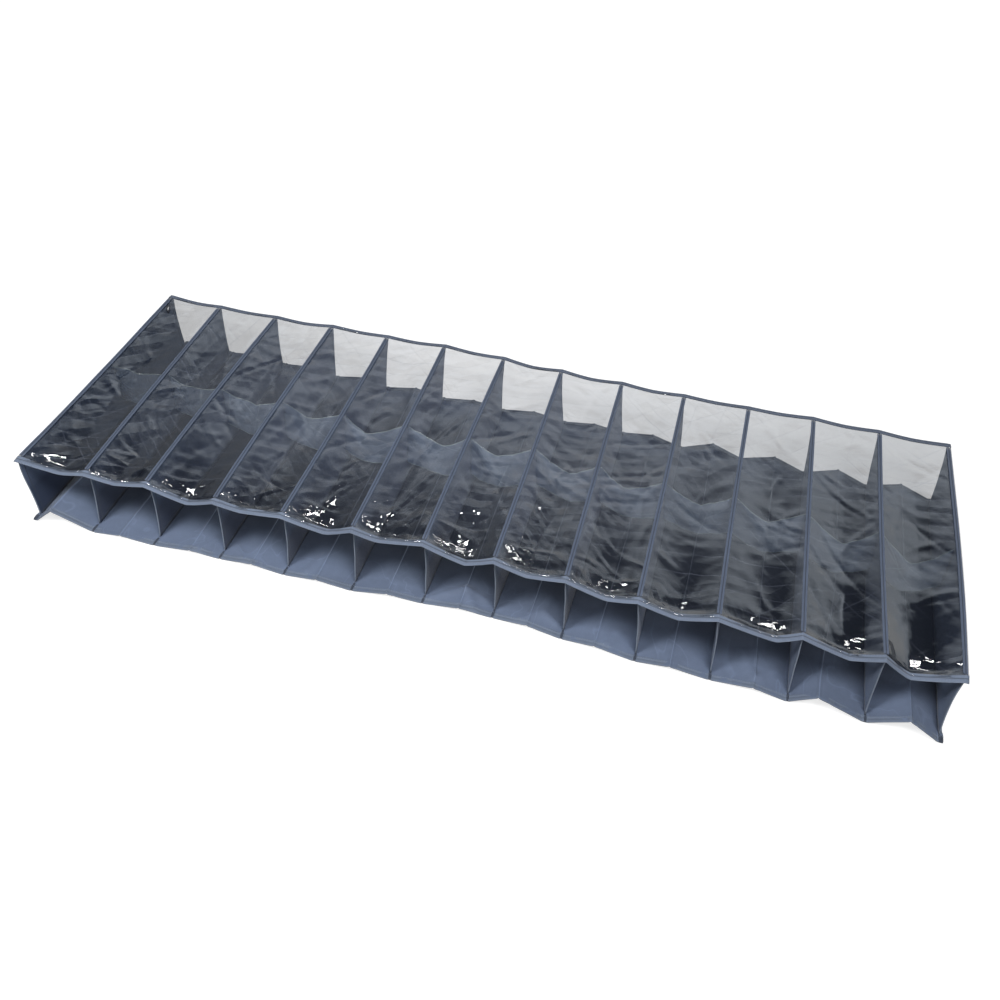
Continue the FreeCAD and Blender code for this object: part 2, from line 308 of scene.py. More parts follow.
# Each set of folds in the film: turn, spacing, wander, slope, where it fades in from and
# to, and seed.
FOLD_LINE = 0.0009
LONG_FOLDS = ((1.45, 0.034, 0.036, 0.070, 0.40, 0.58, 0.3),
              (0.85, 0.052, 0.050, 0.078, 0.44, 0.60, 2.1),
              (-0.75, 0.043, 0.040, 0.068, 0.46, 0.62, 4.7),
              (0.20, 0.060, 0.050, 0.060, 0.45, 0.60, 6.2),
              (2.30, 0.017, 0.018, 0.060, 0.48, 0.66, 8.4))
FRONT_FOLDS = ((1.2, 0.018, 0.022, 0.30, 0.36, 0.55, 1.7),
               (-0.5, 0.022, 0.026, 0.28, 0.40, 0.58, 3.9))

# The shader groups: their input beside Place with its default, their outputs, and what
# fills them.
GROUPS = {"Cloth weave": (("Threads", 9000.0), ("Height", "Shade"), fill_weave),
          "Cloth mottling": (None, ("Tone", "Fold"), fill_mottle),
          "Film creases": (("Sharp", 1.0), ("Height", "Ridge"), fill_creases)}


def group(name):
    """A shader node group with named sockets, built once."""
    if name in bpy.data.node_groups:
        return bpy.data.node_groups[name]
    extra, outputs, fill = GROUPS[name]
    tree = bpy.data.node_groups.new(name, "ShaderNodeTree")
    new_socket = tree.interface.new_socket
    new_socket("Place", in_out="INPUT", socket_type="NodeSocketVector")
    if extra:
        socket = new_socket(extra[0], in_out="INPUT", socket_type="NodeSocketFloat")
        socket.default_value = extra[1]
    for label in outputs:
        new_socket(label, in_out="OUTPUT", socket_type="NodeSocketFloat")
    graph = Graph(tree)
    fill(graph, graph.add("NodeGroupInput").outputs, graph.add("NodeGroupOutput").inputs)
    return tree


def place(graph, name, **values):
    made = graph.add("ShaderNodeGroup", node_tree=group(name))
    graph.feed(made, **values)
    return made.outputs


def scaled(colour, factor):
    return tuple(min(1.0, c * factor) for c in colour) + (1.0,)


def new_material(name):
    material = bpy.data.materials.new(name)
    material.use_nodes = True
    graph = Graph(material.node_tree)
    shader = graph.add("ShaderNodeBsdfPrincipled")
    graph.add("ShaderNodeOutputMaterial", shader.outputs[0])
    return material, graph, shader


def give(graph, shader, height=None, distance=0.0, strength=0.0, **values):
    """Sets the shader's sockets, and its bumps if it has a height."""
    graph.feed(shader, **values)
    if height is not None:
        made = graph.add("ShaderNodeBump")
        graph.feed(made, Height=height, Distance=distance, Strength=strength)
        graph.feed(shader, Normal=made.outputs[0])


def cloth_material(name, colour, threads=9000.0, low=0.82, high=1.14, rough=0.62,
                   sheen=0.15, fold=0.06, inside=None, foot=None):
    """Coated woven cloth: thread pattern, uneven tone and paler fold lines. The painted
    inner shade is a darker colour painted away from the organizer's long edges, where the
    cover and walls shade the cloth; foot is the colour of a wall's low front corner, a
    painted shade."""
    material, graph, shader = new_material(name)
    uv = graph.add("ShaderNodeUVMap").outputs[0]
    along, across = graph.split(uv)[:2]
    weave = place(graph, "Cloth weave", Place=uv, Threads=threads)
    mottle = place(graph, "Cloth mottling", Place=uv)
    tone = graph.blend(mottle["Tone"], scaled(colour, low), scaled(colour, high))
    pale = graph.blend(graph.times(mottle["Fold"], fold), tone,
                       scaled(colour, high * 1.35))
    # Painted shade: the cloth turns darker away from the long edges, towards the middle of
    # the floor's depth, where the cover and walls shade it.
    if inside:
        inner_shade_mask = graph.span(graph.maths("ABSOLUTE", across), FLOOR_HALF - 0.115,
                          FLOOR_HALF - 0.030, 1.0, 0.0)
        pale = graph.blend(graph.maths("POWER", inner_shade_mask, 0.8), pale, scaled(inside, 1.0))
    # Painted shade: a wall's low front corner, inside the opening, turns darker where shade
    # falls.
    if foot:
        corner = graph.times(graph.span(along, -0.16, -0.06, 1.0, 0.0),
                             graph.span(across, 0.060, 0.125, 1.0, 0.0))
        pale = graph.blend(corner, pale, scaled(foot, 1.0))
    shade = graph.add("ShaderNodeVectorMath", pale, operation="SCALE")
    graph.put(weave["Shade"], shade.inputs["Scale"])
    height = graph.plus(graph.times(weave["Height"], 0.6),
                        graph.times(mottle["Fold"], 0.8))
    give(graph, shader, height, 0.00025, 0.5, Base_Color=shade.outputs[0],
         Roughness=graph.span(mottle["Tone"], 0.0, 1.0, rough + 0.06, rough - 0.08),
         Sheen_Weight=sheen, Specular_IOR_Level=0.35)
    return material


def film_material(name, colour, alpha, ridge_alpha, sharp=1.0, rough=0.035,
                  far_alpha=None, painted_reflection=None):
    """Soft clear film: mostly see-through, with glossy creases that catch the light and
    thin lines along them painted paler and denser, a painted highlight. Far alpha is how
    dense it is at the last bay. A film with a painted reflection is clearest over the
    middle bays and carries there, away from its front edge, a pale painted reflection of
    its surroundings."""
    material, graph, shader = new_material(name)
    uv = graph.add("ShaderNodeUVMap").outputs[0]
    along, across = graph.split(uv)[:2]
    creases = place(graph, "Film creases", Place=uv, Sharp=sharp)
    tint = scaled(colour, 1.0)
    # Painted reflection: a pale colour of the mirrored surroundings, strongest over the
    # middle bays and fading towards the front edge and the ends.
    if painted_reflection:
        beyond = graph.maths("SUBTRACT", along, CLEAREST)
        away = graph.maths("MAXIMUM", beyond, graph.times(beyond, -LEFTWARDS))
        base = graph.span(away, 0.0, 0.85, alpha, far_alpha)
        reflection_mask = graph.times(graph.span(away, 0.30, 0.85, 1.0, 0.05),
                            graph.span(across, -0.22, -0.06, 0.1, 1.0))
        uneven = graph.grain(uv, 15.0, 3.0, 0.6, (1.0, 0.6, 1.0), 0.8)
        reflection_mask = graph.times(reflection_mask, graph.span(uneven, 0.38, 0.62, 0.55, 1.0))
        tint = graph.blend(reflection_mask, tint, scaled(painted_reflection, 1.0))
    else:
        base = graph.span(along, 0.0, 1.6, alpha, far_alpha or alpha)
    # Painted highlight: thin lines along the creases are painted paler and denser.
    give(graph, shader, creases["Height"], 1.0, 1.0,
         Base_Color=graph.blend(creases["Ridge"], tint, scaled(painted_reflection or colour, 1.3)),
         Alpha=graph.plus(base, graph.times(creases["Ridge"], ridge_alpha)),
         Roughness=rough, IOR=3.0)
    return material


def thread_material(name, colour):
    material, graph, shader = new_material(name)
    twist = graph.grain(graph.add("ShaderNodeTexCoord").outputs["Object"], 1500.0, 1.0)
    give(graph, shader, twist, 0.0001, 0.6, Roughness=0.6,
         Base_Color=graph.blend(twist, scaled(colour, 0.75), scaled(colour, 1.2)))
    return material


def enamel_material(name, colour):
    material, graph, shader = new_material(name)
    specks = graph.grain(graph.add("ShaderNodeTexCoord").outputs["Object"], 400.0, 3.0)
    give(graph, shader, specks, 0.0001, 0.3, Metallic=0.1,
         Base_Color=graph.blend(specks, scaled(colour, 0.8), scaled(colour, 1.6)),
         Roughness=graph.span(specks, 0.3, 0.7, 0.5, 0.65))
    return material


# Each finish: how it is made, from which of the colours and how much paler, and with what.
PLAIN_TAPE = {"threads": 6000.0, "low": 0.9, "high": 1.1}
FRESH_TAPE = dict(PLAIN_TAPE, rough=0.58, sheen=0.2, fold=0.1)
FINISHES = {
    # The floor's darker inner colour is a painted shade where the cover and walls shade it.
    "floor cloth": (cloth_material, "cloth", 1.0,
                    {"fold": 0.3, "inside": (0.032, 0.040, 0.058)}),
    "border cloth": (cloth_material, "cloth", 1.0, {}),
    # The crease's paler colour is a painted highlight on the ridge's lit side; inside the
    # bays it takes the darker painted inner shade.
    "cloth crease": (cloth_material, "cloth", 1.25,
                     {"low": 0.9, "high": 1.15, "inside": (0.15, 0.175, 0.225)}),
    # The left and middle walls take the paler copy, a painted light, with a painted shade
    # in their low front corner; the right walls take the plainer copy.
    "wall cloth": (cloth_material, "walls", 1.0, {"foot": (0.044, 0.062, 0.110)}),
    "lit wall cloth": (cloth_material, "lit_walls", 1.0, {"high": 1.12}),
    "wall edge": (cloth_material, "raw_edge", 1.0, PLAIN_TAPE),
    "edge tape": (cloth_material, "edge_tape", 1.0, dict(FRESH_TAPE, high=1.15)),
    # These darker copies are painted shade in the tapes' folds, grooves and tucks.
    "hem fold": (cloth_material, "edge_tape", 0.78, PLAIN_TAPE),
    "edge fold": (cloth_material, "edge_tape", 0.45, PLAIN_TAPE),
    "seam shadow": (cloth_material, "cloth", 0.32, {"low": 0.9, "high": 1.1}),
    "tape fold": (cloth_material, "wall_tape", 0.5, PLAIN_TAPE),
    "wall tape": (cloth_material, "wall_tape", 1.0, dict(FRESH_TAPE, low=0.85, high=1.2)),
    # The cover's pale colour below is a painted reflection of its surroundings.
    "cover film": (film_material, "film", 1.0,
                   {"alpha": 0.24, "ridge_alpha": 0.07, "far_alpha": 0.37,
                    "painted_reflection": (0.095, 0.106, 0.138)}),
    # The strips' pale colour is a painted sheen, paler still at their edges as a painted
    # highlight.
    "strip film": (film_material, "strip", 1.0,
                   {"alpha": 0.44, "ridge_alpha": 0.20, "sharp": 1.6, "rough": 0.16,
                    "far_alpha": 0.80}),
    "strip rim": (film_material, "strip", 1.5,
                  {"alpha": 0.55, "ridge_alpha": 0.1, "sharp": 0.5, "rough": 0.2}),
    "edge thread": (thread_material, "edge_tape", 1.45, {}),
    "dark thread": (thread_material, "wall_tape", 1.1, {}),
    "eyelet enamel": (enamel_material, "eyelet", 1.0, {}),
}


def stock(name):
    """One of the organizer's own finishes, made once."""
    if name in bpy.data.materials:
        return bpy.data.materials[name]
    make, tint, paler, how = FINISHES[name]
    colour = getattr(bpy.context.scene.organizer_colours, tint)
    return make(name, scaled(colour, paler)[:3], **how)


# ---------------------------------------- mesh helpers
def added(name, data):
    """An object of its own in the scene."""
    made = bpy.data.objects.new(name, data)
    bpy.context.scene.collection.objects.link(made)
    return made


def finish_mesh(name, points, faces, uvs, materials, which=None):
    """A smooth piece with a UV map in metres and its finishes."""
    mesh = bpy.data.meshes.new(name)
    mesh.from_pydata([tuple(p) for p in points], [], faces)
    layer = mesh.uv_layers.new(name="UVMap")
    corners = np.empty(len(mesh.loops), dtype=np.int32)
    mesh.loops.foreach_get("vertex_index", corners)
    layer.data.foreach_set("uv", np.asarray(uvs, np.float32)[corners].ravel())
    for material in materials:
        mesh.materials.append(stock(material))
    if which is not None:
        mesh.polygons.foreach_set("material_index", np.asarray(which, np.int32))
    mesh.polygons.foreach_set("use_smooth", [True] * len(faces))
    mesh.update()
    return added(name, mesh)


def grid_normals(grid):
    """Unit normals of a grid of points, pointing to the side where first x then y runs."""
    du = np.gradient(grid, axis=0)
    dv = np.gradient(grid, axis=1)
    normal = np.cross(du, dv)
    return normal / np.maximum(np.linalg.norm(normal, axis=2, keepdims=True), 1e-12)


def thick_sheet(name, grid, uv, thickness, finishes, choose=None):
    """A closed sheet around a grid of middle points. Choose gives the finish of a quad
    from its two indices."""
    rows, columns = grid.shape[:2]
    normal = grid_normals(grid)
    half = np.asarray(thickness) / 2
    over = (grid + normal * half).reshape(-1, 3)
    under = (grid - normal * half).reshape(-1, 3)
    points = np.vstack([over, under])
    uvs = np.vstack([uv.reshape(-1, 2), uv.reshape(-1, 2)])
    count = rows * columns
    faces, which = [], []

    def index(i, j):
        return i * columns + j

    for i in range(rows - 1):
        for j in range(columns - 1):
            a, b, c, d = index(i, j), index(i + 1, j), index(i + 1, j + 1), index(i, j + 1)
            slot = choose(i, j) if choose else 0
            faces.append((a, b, c, d))
            faces.append((count + d, count + c, count + b, count + a))
            which += [slot, slot]
    rim = [index(i, 0) for i in range(rows)]
    rim += [index(rows - 1, j) for j in range(1, columns)]
    rim += [index(i, columns - 1) for i in range(rows - 2, -1, -1)]
    rim += [index(0, j) for j in range(columns - 2, 0, -1)]
    for a, b in zip(rim, rim[1:] + rim[:1]):
        faces.append((b, a, count + a, count + b))
        which.append(len(finishes) - 1)
    return finish_mesh(name, points, faces, uvs, finishes, which)


def sweep(name, path, side, up, profile, finishes, dark=(), uv_shift=0.0):
    """A closed bar: the profile's points are steps along side and up from each point of the
    path. Dark sides of the profile have the second finish, a painted shade."""
    profile = np.asarray(profile, float)
    n, m = len(path), len(profile)
    ring = (path[:, None, :] + profile[None, :, :1] * side[:, None, :]
            + profile[None, :, 1:2] * up[:, None, :])
    run = np.concatenate([[0], np.cumsum(np.linalg.norm(np.diff(path, axis=0), axis=1))])
    edge = np.linalg.norm(np.diff(profile, axis=0, append=profile[:1]), axis=1)
    around = np.concatenate([[0], np.cumsum(edge)[:-1]])
    uvs = np.stack(np.broadcast_arrays(run[:, None] + uv_shift, around[None, :]), axis=2)
    faces = [(i * m + j, i * m + (j + 1) % m, (i + 1) * m + (j + 1) % m, (i + 1) * m + j)
             for i in range(n - 1) for j in range(m)]
    faces.append(tuple(range(m - 1, -1, -1)))
    faces.append(tuple((n - 1) * m + j for j in range(m)))
    which = [1 if j in dark else 0 for i in range(n - 1) for j in range(m)] + [0, 0]
    piece = finish_mesh(name, ring.reshape(-1, 3), faces, uvs.reshape(-1, 2), finishes,
                        which)
    face_outward(piece.data)
    return piece


def face_outward(mesh):
    """Turns the faces of a closed mesh outwards, if its signed volume is negative."""
    points = np.array([v.co for v in mesh.vertices])
    mesh.calc_loop_triangles()
    total = 0.0
    for triangle in mesh.loop_triangles:
        a, b, c = points[list(triangle.vertices)]
        total += np.dot(a, np.cross(b, c))
    if total < 0:
        mesh.flip_normals()


def frames_along(path, sideways):
    """Side and up directions along a path: side as near as can be to the one given."""
    tangent = np.gradient(path, axis=0)
    tangent /= np.linalg.norm(tangent, axis=1, keepdims=True)
    side = np.broadcast_to(np.asarray(sideways, float), path.shape)
    side = side - tangent * np.sum(side * tangent, axis=1, keepdims=True)
    side /= np.linalg.norm(side, axis=1, keepdims=True)
    up = np.cross(tangent, side)
    up *= np.sign(up[:, 2:3] + 1e-12)
    return side, up


def folded_tape(width, thick, groove, sides=5):
    """Cross-section of a tape folded in two: rounded edges and a groove along its
    middle."""
    def rounded(middle, start):
        turns = [start + math.pi * i / sides for i in range(sides + 1)]
        return [(middle + math.cos(turn) * thick / 2, math.sin(turn) * thick / 2)
                for turn in turns]

    middle = width / 2 - thick / 2
    return (rounded(middle, -math.pi / 2)
            + [(width * 0.12, thick / 2), (0.0, thick / 2 - groove),
               (-width * 0.12, thick / 2)]
            + rounded(-middle, math.pi / 2))


def smooth(t):
    t = np.clip(t, 0.0, 1.0)
    return t * t * (3 - 2 * t)


def mix(a, b, t):
    return a + (b - a) * t


# ---------------------------------------- where the cloth lies
def wall_line(wall, v, pitch, shift, half, out):
    """A straight line across the organizer: v runs from its front end to its back end.
    Shift and out are the sideways and outward shifts of its ends, front first."""
    x = (wall - BAYS / 2) * pitch
    x = x + mix(shift[0][wall], shift[1][wall], v) * MM
    return x, mix(-half - out[0][wall] * MM, half + out[1][wall] * MM, v)


def wall_top(wall, v):
    """A wall's top line, a little bent, from the cover's front edge to its back edge."""
    x, y = wall_line(wall, v, TOP_PITCH, TOP_SHIFT, TOP_HALF, TOP_OUT)
    return x + TAPE_BEND[wall] * MM * np.sin(math.pi * v) * (1 - 0.5 * v) * 0.8, y


def wall_foot(wall, v):
    """A wall's foot line, from the floor's front edge to its back edge."""
    return wall_line(wall, v, FLOOR_PITCH, FOOT_SHIFT, FLOOR_HALF, FOOT_OUT)


def tent(t, kink, soft):
    """0 at the walls and 1 at the crease, more or less rounded."""
    line = np.where(t < kink, t / kink, (1 - t) / (1 - kink))
    return mix(line, np.sin(line * math.pi / 2), soft)


def cover_height(bay, t, v):
    """How far the cover hangs under its seams."""
    front, back = COVER_DROP[bay], COVER_BACK_DROP[bay]
    drop = mix(front, mix(9.0, back, smooth((v - 0.4) / 0.6)), smooth(v / 0.30))
    kink = mix(COVER_KINK[bay], 0.5, smooth(v / 0.4))
    soft = mix(0.25, 0.75, smooth(v / 0.15))
    dip = COVER_DIP[bay] * np.exp(-((v - 0.043) / 0.019) ** 2)
    dip = dip * np.clip(np.sin(math.pi * t), 0, 1) ** 0.6
    return -(drop * tent(t, kink, soft) + dip) * MM


FLOOR_FOLDS = ((2, 0.62, 4, 0.80, 42), (6, 0.04, 10, 0.50, 46), (6, 0.50, 46, 0.74, 4),
               (6, 0.50, 46, 0.86, 30), (7, 0.38, 6, 0.66, 40), (7, 0.66, 40, 0.72, 78),
               (7, 0.66, 40, 0.92, 22), (10, 0.30, 70, 0.52, 18), (10, 0.52, 18, 0.86, 50),
               (4, 0.30, 10, 0.46, 60), (8, 0.62, 8, 0.78, 52), (3, 0.12, 34, 0.40, 6))


def floor_folds(bay, t, v):
    """Small folds pulled in the floor: each is a bay, then the share of the bay and the
    distance from the front edge in mm of its two ends."""
    height = np.zeros_like(t)
    away = v * 2 * FLOOR_HALF / MM
    across = t * FLOOR_PITCH / MM
    for where, t0, d0, t1, d1 in FLOOR_FOLDS:
        if where != bay:
            continue
        ax, bx = t0 * FLOOR_PITCH / MM, t1 * FLOOR_PITCH / MM
        long = math.hypot(bx - ax, d1 - d0)
        ux, uy = (bx - ax) / long, (d1 - d0) / long
        along = (across - ax) * ux + (away - d0) * uy
        off = np.abs((across - ax) * uy - (away - d0) * ux)
        height += (FOLD_TALL * np.exp(-off / FOLD_WIDE) * smooth(along / FOLD_END + 0.5)
                   * smooth((long - along) / FOLD_END + 0.5))
    return height


def floor_kink(bay, v):
    return mix(FLOOR_KINK[bay], 0.5, smooth(v / 0.5))


def floor_height(bay, share, v):
    """How far the floor stands up: its pinched crease, and a tuck at each wall's end.
    Share is 0.5 along the crease."""
    rise = mix(FLOOR_FRONT_RISE[bay], FLOOR_BACK_RISE[bay], smooth(v))
    crease = rise * tent(share, 0.5, 0.10)
    beside = (share - 0.5) * FLOOR_PITCH
    crease = crease + 2.2 * np.exp(-(np.abs(beside) / 0.0019))
    crease = crease + 0.9 * np.exp(-((beside - 0.011) / 0.003) ** 2)
    end = np.minimum(v, 1 - v) * 2 * FLOOR_HALF
    off = np.minimum(share, 1 - share) * FLOOR_PITCH
    tuck = 3.8 * np.exp(-(off / 0.0022) ** 2) * smooth((0.021 - end) / 0.008)
    tuck = tuck * smooth((end + 0.004) / 0.008)
    return (crease + tuck + floor_folds(bay, share, v)) * MM


def cover_point(bay, t, v):
    x0, y0 = wall_top(bay, v)
    x1, y1 = wall_top(bay + 1, v)
    return mix(x0, x1, t), mix(y0, y1, t), COVER_Z + cover_height(bay, t, v)


def floor_point(bay, share, v):
    x0, y0 = wall_foot(bay, v)
    x1, y1 = wall_foot(bay + 1, v)
    kink = floor_kink(bay, v)
    t = np.where(share < 0.5, share * 2 * kink, 1 - (1 - share) * 2 * (1 - kink))
    return mix(x0, x1, t), mix(y0, y1, t), FLOOR_Z + floor_height(bay, share, v)


def shares(count):
    """Places across a bay, closer together beside its walls and in its middle."""
    half = np.concatenate([[0, 0.012, 0.026, 0.045], np.linspace(0.07, 0.46, count // 2),
                           [0.478, 0.49]])
    return np.concatenate([half, [0.5], 1 - half[::-1]])


def squash(piece):
    """Gives a sheet's piece a mesh of its own."""
    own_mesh(piece)


# ---------------------------------------- wrinkles
def ridged(x, y, scale, seed):
    """Sharp-crested folds, 0 to 1."""
    return 1 - min(1.0, abs(noise.noise(Vector((x * scale, y * scale, seed)))) * 3.2)


def film_wrinkles(rng, bay, x, y, t, v, strength):
    """Heights of the film's waves, long straight folds and crumpled front."""
    angle = rng.uniform(-0.9, 0.9)
    c, s = math.cos(angle), math.sin(angle)
    seed = rng.uniform(0, 90)
    height = np.zeros_like(x)
    for index in np.ndindex(x.shape):
        px, py = x[index], y[index]
        a, b = px * c + py * s, py * c - px * s
        soft = noise.noise(Vector((px * 14, py * 11, seed)))
        fold = ridged(a, b * 0.4, 22, seed + 5)
        cross = ridged(px * 0.35, py, 34, seed + 23)
        small = ridged(a, b * 0.8, 60, seed + 11)
        height[index] = soft * 1.5 + fold * 1.5 + cross * 1.1 + small * 0.35
    front = np.exp(-((v - 0.06) / 0.07) ** 2)
    height = height * (1 + 0.8 * front)
    for _ in range(LONG_CREASES):
        cx, cy = rng.uniform(0.1, 0.9), rng.beta(1.2, 1.5)
        turn = rng.uniform(-1.2, 1.2) + math.pi / 2
        reach = rng.uniform(0.03, 0.11)
        c, s = math.cos(turn), math.sin(turn)
        along = (t - cx) * TOP_PITCH * c + (v - cy) * COVER_DEPTH * s
        off = -(t - cx) * TOP_PITCH * s + (v - cy) * COVER_DEPTH * c
        wide = rng.uniform(0.0022, 0.0045)
        tall = rng.uniform(1.0, 3.0) * rng.choice([-1, 1])
        off = off + 0.15 * along ** 2 / reach
        height += tall * np.exp(-(off / wide) ** 2) * smooth(1.3 - np.abs(along) / reach)
    edge = smooth(np.minimum(t, 1 - t) * TOP_PITCH / 0.016)
    edge = edge * smooth(np.minimum(v, 1 - v) / 0.035)
    calm = mix(0.80, 0.38, smooth((bay - 7.5) / 2))
    return height * edge * strength * MM * calm


def cloth_wrinkles(rng, bay, x, y, t, v, strength):
    """Heights of the floor cloth's waves and folds."""
    seed = rng.uniform(0, 90)
    height = np.zeros_like(x)
    for index in np.ndindex(x.shape):
        px, py = x[index], y[index]
        height[index] = (noise.noise(Vector((px * 12, py * 7, seed))) * 1.4
                         + ridged(px * 0.8, py * 1.1, 17, seed + 3) * 1.3
                         + ridged(px, py, 40, seed + 7) * 0.35)
    edge = smooth(np.minimum(t, 1 - t) / 0.07)
    return height * edge * strength * MM


# ---------------------------------------- stitches
def stitch_tree():
    """Geometry nodes: one thread stitch repeated along a curve."""
    if "Stitch row" in bpy.data.node_groups:
        return bpy.data.node_groups["Stitch row"]
    tree = bpy.data.node_groups.new("Stitch row", "GeometryNodeTree")
    new_socket = tree.interface.new_socket
    new_socket("Geometry", in_out="INPUT", socket_type="NodeSocketGeometry")
    for label, value in (("Spacing", 0.0042), ("Length", 0.0030), ("Thickness", 0.00032)):
        socket = new_socket(label, in_out="INPUT", socket_type="NodeSocketFloat")
        socket.default_value = value
    new_socket("Thread", in_out="INPUT", socket_type="NodeSocketMaterial")
    new_socket("Geometry", in_out="OUTPUT", socket_type="NodeSocketGeometry")
    graph = Graph(tree)
    given = graph.add("NodeGroupInput").outputs
    out = graph.add("NodeGroupOutput").inputs
    points = graph.add("GeometryNodeCurveToPoints", mode="LENGTH")
    graph.feed(points, Curve=given["Geometry"], Length=given["Spacing"])
    bead = graph.add("GeometryNodeMeshIcoSphere")
    graph.feed(bead, Subdivisions=1, Radius=1.0)
    thick = given["Thickness"]
    half = graph.times(given["Length"], 0.5)
    size = graph.add("ShaderNodeCombineXYZ", thick, thick, half)
    row = graph.add("GeometryNodeInstanceOnPoints")
    graph.feed(row, Points=points.outputs["Points"], Instance=bead.outputs["Mesh"],
               Rotation=points.outputs["Rotation"], Scale=size.outputs[0])
    real = graph.add("GeometryNodeRealizeInstances", row.outputs[0])
    thread = graph.add("GeometryNodeSetMaterial")
    graph.feed(thread, Geometry=real.outputs[0], Material=given["Thread"])
    graph.put(thread.outputs[0], out["Geometry"])
    return tree


def stitch_rows(name, lines, thread, spacing):
    """Stitches along each of the lines, as one plain mesh."""
    curve = bpy.data.curves.new(name + "_path", "CURVE")
    curve.dimensions = "3D"
    for line in lines:
        spline = curve.splines.new("POLY")
        spline.points.add(len(line) - 1)
        spline.points.foreach_set("co", np.c_[line, np.ones(len(line))].ravel())
    path = added(name + "_path", curve)
    modifier = path.modifiers.new("Stitches", "NODES")
    modifier.node_group = stitch_tree()
    given = {"Spacing": spacing, "Thread": stock(thread)}
    for item in modifier.node_group.interface.items_tree:
        if item.in_out == "INPUT" and item.name in given:
            modifier[item.identifier] = given[item.name]
    piece = added(name, applied(path))
    piece.data.name = name
    bpy.data.objects.remove(path)
    for polygon in piece.data.polygons:
        polygon.use_smooth = True
    return piece


def applied(piece):
    """The mesh of a piece with its modifiers applied."""
    bpy.context.view_layer.update()
    graph = bpy.context.evaluated_depsgraph_get()
    return bpy.data.meshes.new_from_object(piece.evaluated_get(graph))


# ---------------------------------------- the organizer's pieces
def settle(piece, body, slot, *nodes, pitch=None):
    """The piece moves with the body and stands for the nodes; the slot is not used.
    Part of a sheet that spans the bays at a pitch, it also gets a mesh of its own."""
    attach(piece, body)
    if nodes:
        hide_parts(*nodes)
    if pitch:
        squash(piece)


def spread(point, count, lines, overhang, wrinkle=None, seed=0, strength=1.0):
    """Points of a sheet over all bays at the given lines from front to back, with the
    length measured along the sheet for its pattern."""
    rng = np.random.default_rng(seed)
    parts = []
    for bay in range(BAYS):
        ts = shares(count)[:None if bay == BAYS - 1 else -1]
        t, v = np.meshgrid(ts, lines, indexing="ij")
        x, y, z = point(bay, t, v)
        if wrinkle:
            z = z + wrinkle(rng, bay, x, y, t, v, strength)
        parts.append(np.stack([x, y, z], axis=2))
    grid = np.concatenate(parts)
    first, last = grid[:1].copy(), grid[-1:].copy()
    first[..., 0] -= overhang
    last[..., 0] += overhang
    grid = np.concatenate([first, grid, last])
    step = np.linalg.norm(np.diff(grid, axis=0), axis=2).mean(axis=1)
    run = np.concatenate([[0], np.cumsum(step)])
    uv = np.stack(np.broadcast_arrays(run[:, None], grid[..., 1]), axis=2)
    return grid, uv


def edge_band(name, point, half, width, thick, back, finishes, tilt=0.0):
    """A tape folded over one long edge of a sheet: its finish, the finish of its folds, a
    painted shade along its middle groove and inner edge, and, if given, the finish of its
    tuck at each wall, a painted shadow. The tape's rim takes the last of these finishes,
    painted shade as well."""
    steps = np.array([-0.0006, 0.0, 0.0016, width * 0.45, width * 0.5, width * 0.55,
                      width - 0.0016, width - 0.0006, width])
    profile = np.array([0.35, 0.8, 1.0, 1.0, 0.45, 1.0, 1.0, 0.7, 0.4])
    lean = (width - steps) / width * tilt
    lines = steps / (2 * half)
    if back:
        lines, profile, lean = (1 - lines)[::-1], profile[::-1], lean[::-1]
    grid, uv = spread(point, BAND_SHARES, lines, SEAM / 2)
    grid[..., 2] -= lean[None, :]
    thickness = (profile * thick)[None, :, None]
    inner = 0 if back else len(steps) - 2
    count = len(shares(BAND_SHARES)) - 1

    def choose(i, j):
        if len(finishes) > 2 and (i - 1) % count in (0, count - 1):
            return 2
        return 1 if j in (3, 4, inner) else 0

    return thick_sheet(name, grid, uv, thickness, finishes, choose)


def edge_row(point, half, inset, back, lift):
    """A line along a sheet's long edge, at a distance from it, for stitches."""
    v = inset / (2 * half)
    line = spread(point, BAND_SHARES, [1 - v if back else v], SEAM / 2 - 0.001)[0][:, 0]
    line[:, 2] += lift
    return line


